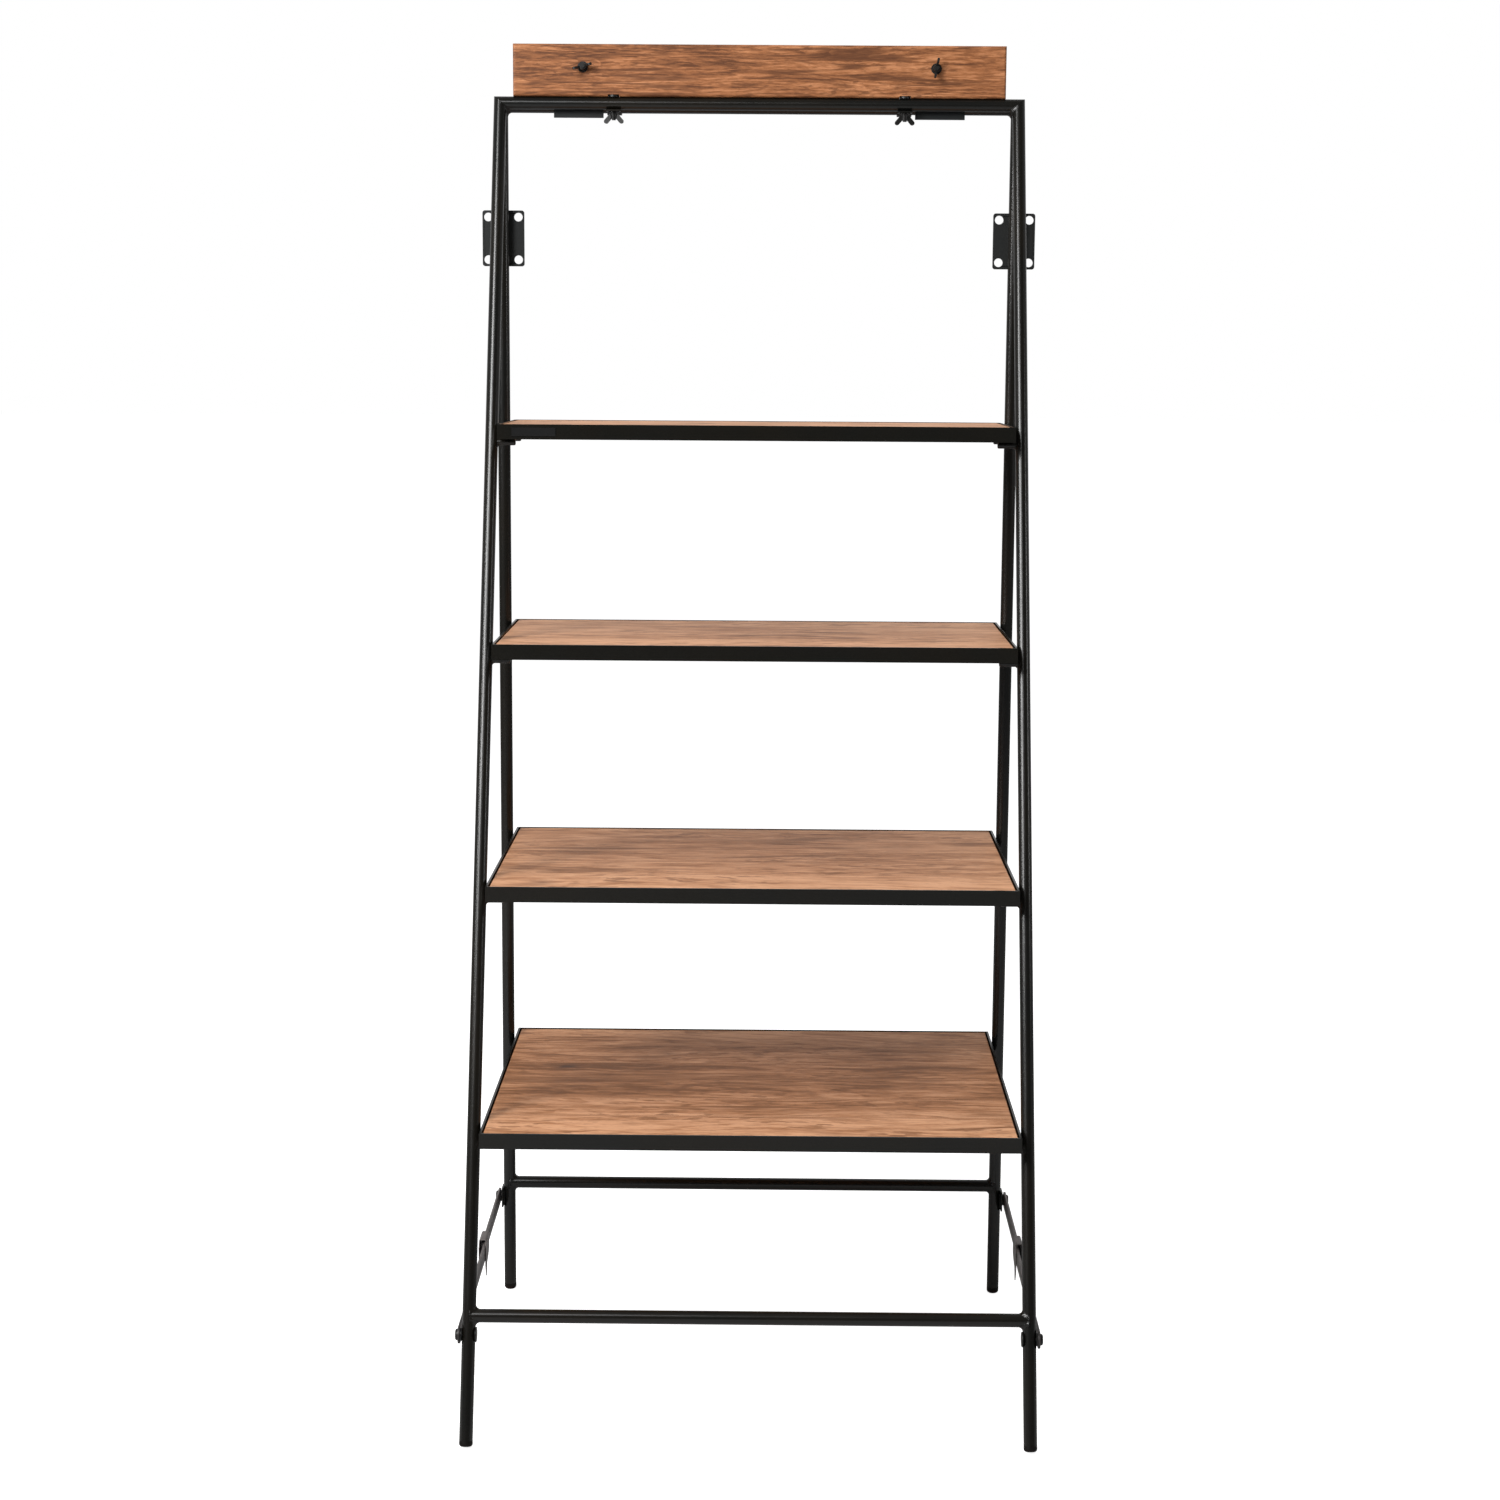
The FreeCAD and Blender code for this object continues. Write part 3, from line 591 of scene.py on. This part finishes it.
def plate_welds():
    """Beads down both sides of each rear leg where the wall plate and the arm's tab meet it."""
    bm = bmesh.new()
    for side, outward in zip(SIDES, (-1.0, 1.0)):
        leg = box_centre(f"rear_leg_{side}")
        low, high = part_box(f"wall_plate_{side}")
        for sign in (-1.0, 1.0):
            bead(bm, leg.x + sign * PLATE_BEAD_OFF, low.y + 0.1 * MM, low.z + PLATE_BEAD_SHORT,
                 high.z - PLATE_BEAD_SHORT, PLATE_BEAD, Vector((0, -1, 0)))
        low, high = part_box(f"arm_tab_{side}")
        for sign in (-1.0, 1.0):
            bead(bm, leg.x + outward * TAB_BEAD_OUT, leg.y + sign * TAB_BEAD_OFF, low.z + TAB_BEAD_SHORT,
                 high.z - TAB_BEAD_SHORT, TAB_BEAD, Vector((outward, 0, 0)))
    piece("plate_welds", bm, STEEL, "rear_frame")


frame_welds("rear", REAR_AXIS)
frame_welds("front", FRONT_AXIS)
plate_welds()


# ---------------------------------------------------------------- eased edges

EASED = ("wall_plate", "header_bracket", "rear_link", "front_link", "saddle", "arm_tab")
EASE = 0.35 * MM
EASE_FROM_ANGLE = 38.0
SAME_PLACE = 0.01 * MM


def ease_edges():
    """Round off the flat pieces' sharp edges a little, as rolled and painted steel has them."""
    for name in [f"{kind}_{side}" for side in SIDES for kind in EASED]:
        node = NODES[name]
        weld = node.modifiers.new("weld", "WELD")
        weld.merge_threshold = SAME_PLACE
        bevel = node.modifiers.new("ease", "BEVEL")
        bevel.width = EASE
        bevel.segments = 2
        bevel.limit_method = "ANGLE"
        bevel.angle_limit = math.radians(EASE_FROM_ANGLE)
        bevel.use_clamp_overlap = True


ease_edges()


# ---------------------------------------------------------------------- stage

WHITE = (1.0, 1.0, 1.0, 1.0)
FLOOR_RADIUS = 60.0
FLOOR_GAP = 0.3 * MM
FLOOR_GLOW = 0.84

# Brightness of the surroundings in front of the object and behind it, and where the change between
# them starts and ends, as the Y of a direction
AHEAD, BEHIND = 0.08, 0.62
CHANGE_FROM, CHANGE_TO = -0.5, 0.8

# Lights: place, aim, sides in metres, power in watts, and whether shiny pieces show them
LIGHTS = {
    "high_left_panel": ((-2.5, -2.9, 3.3), (-0.2, 0.0, 1.3), (1.2, 2.2), 225.0, True),
    "left_strip": ((-3.6, -1.9, 2.3), (0.0, 0.0, 1.4), (0.22, 1.4), 36.0, True),
    "right_strip": ((3.8, -1.2, 2.2), (0.0, 0.0, 1.4), (0.2, 1.4), 18.0, True),
    "top_panel": ((0.0, -0.4, 4.2), (0.0, 0.0, 0.6), (4.4, 3.2), 84.0, False),
    "front_key": ((-1.3, -3.9, 3.9), (0.0, 0.0, 1.0), (1.6, 1.2), 55.0, True),
}

# Camera: metres, degrees, then the sensor's width and the focal length in millimetres
CAMERA_AT = (0.02116, -3.79154, 1.4988)
CAMERA_YAW, CAMERA_PITCH, CAMERA_ROLL = -0.4058, 8.5459, 0.3731
SENSOR = 36.0
LENS = 2638.66 * SENSOR / 1500.0


def studio_floor():
    """Pale floor that reads near white in the picture and sends little light back up at the object."""
    bm = bmesh.new()
    bmesh.ops.create_circle(bm, cap_ends=True, radius=FLOOR_RADIUS, segments=96)
    floor = bpy.data.objects.new("floor", mesh_from("floor", bm))
    bpy.context.scene.collection.objects.link(floor)
    floor.location.z = CAD_BOX[0].z - FLOOR_GAP
    g = Graph("floor_white")
    g.surface(Base_Color=(0.62, 0.62, 0.62, 1.0), Roughness=0.9, Specular_IOR_Level=0.1,
              Emission_Color=WHITE, Emission_Strength=FLOOR_GLOW)
    dim = g.node("ShaderNodeBsdfDiffuse", {"Color": (0.45, 0.45, 0.45, 1.0)})
    path = g.node("ShaderNodeLightPath")
    mix = g.node("ShaderNodeMixShader", {0: path.outputs["Is Camera Ray"], 1: dim.outputs[0],
                                         2: g.shader.outputs[0]})
    g.tree.links.new(mix.outputs[0], g.output.inputs[0])
    g.material.cycles.emission_sampling = "NONE"
    floor.data.materials.append(g.material)


def studio_world():
    """White behind everything in the picture, with a bright back and a dark front to light by."""
    world = bpy.data.worlds.new("studio")
    world.use_nodes = True
    bpy.context.scene.world = world
    tree = world.node_tree
    tree.nodes.clear()
    new, link = tree.nodes.new, tree.links.new
    coordinates = new("ShaderNodeTexCoord")
    parts = new("ShaderNodeSeparateXYZ")
    link(coordinates.outputs["Generated"], parts.inputs[0])
    ramp = new("ShaderNodeMapRange")
    link(parts.outputs[1], ramp.inputs["Value"])
    for name, value in (("From Min", CHANGE_FROM), ("From Max", CHANGE_TO),
                        ("To Min", AHEAD), ("To Max", BEHIND)):
        ramp.inputs[name].default_value = value
    lit = new("ShaderNodeBackground")
    link(ramp.outputs[0], lit.inputs["Strength"])
    seen = new("ShaderNodeBackground")
    seen.inputs["Strength"].default_value = 1.0
    for background in (lit, seen):
        background.inputs["Color"].default_value = WHITE
    path = new("ShaderNodeLightPath")
    mix = new("ShaderNodeMixShader")
    link(path.outputs["Is Camera Ray"], mix.inputs[0])
    link(lit.outputs[0], mix.inputs[1])
    link(seen.outputs[0], mix.inputs[2])
    output = new("ShaderNodeOutputWorld")
    link(mix.outputs[0], output.inputs[0])


def soft_box(name, at, aim, size, power, mirrored):
    """Rectangular light; one that isn't mirrored leaves no highlight on shiny pieces."""
    light = bpy.data.lights.new(name, "AREA")
    light.shape = "RECTANGLE"
    light.size, light.size_y = size
    light.energy = power
    made = bpy.data.objects.new(name, light)
    made.location = at
    made.rotation_mode = "QUATERNION"
    made.rotation_quaternion = (Vector(aim) - Vector(at)).to_track_quat("-Z", "Y")
    made.visible_camera = False
    made.visible_glossy = mirrored
    bpy.context.scene.collection.objects.link(made)


def camera():
    """Camera in front of the shelf, turned by its yaw, its pitch downwards and its roll."""
    yaw, pitch, roll = (math.radians(a) for a in (CAMERA_YAW, CAMERA_PITCH, CAMERA_ROLL))
    ahead = Vector((math.sin(yaw) * math.cos(pitch), math.cos(yaw) * math.cos(pitch), -math.sin(pitch)))
    level = Vector((math.cos(yaw), -math.sin(yaw), 0.0))
    above = level.cross(ahead)
    right = level * math.cos(roll) + above * math.sin(roll)
    up = above * math.cos(roll) - level * math.sin(roll)
    data = bpy.data.cameras.new("camera")
    data.sensor_width = SENSOR
    data.lens = LENS
    made = bpy.data.objects.new("camera", data)
    bpy.context.scene.collection.objects.link(made)
    turn = Matrix((right, up, -ahead)).transposed().to_4x4()
    made.matrix_world = Matrix.Translation(CAMERA_AT) @ turn
    bpy.context.scene.camera = made


studio_floor()
studio_world()
for light_name, settings in LIGHTS.items():
    soft_box(light_name, *settings)
camera()
bpy.context.scene.view_settings.view_transform = "Standard"
bpy.context.scene.view_settings.look = "None"
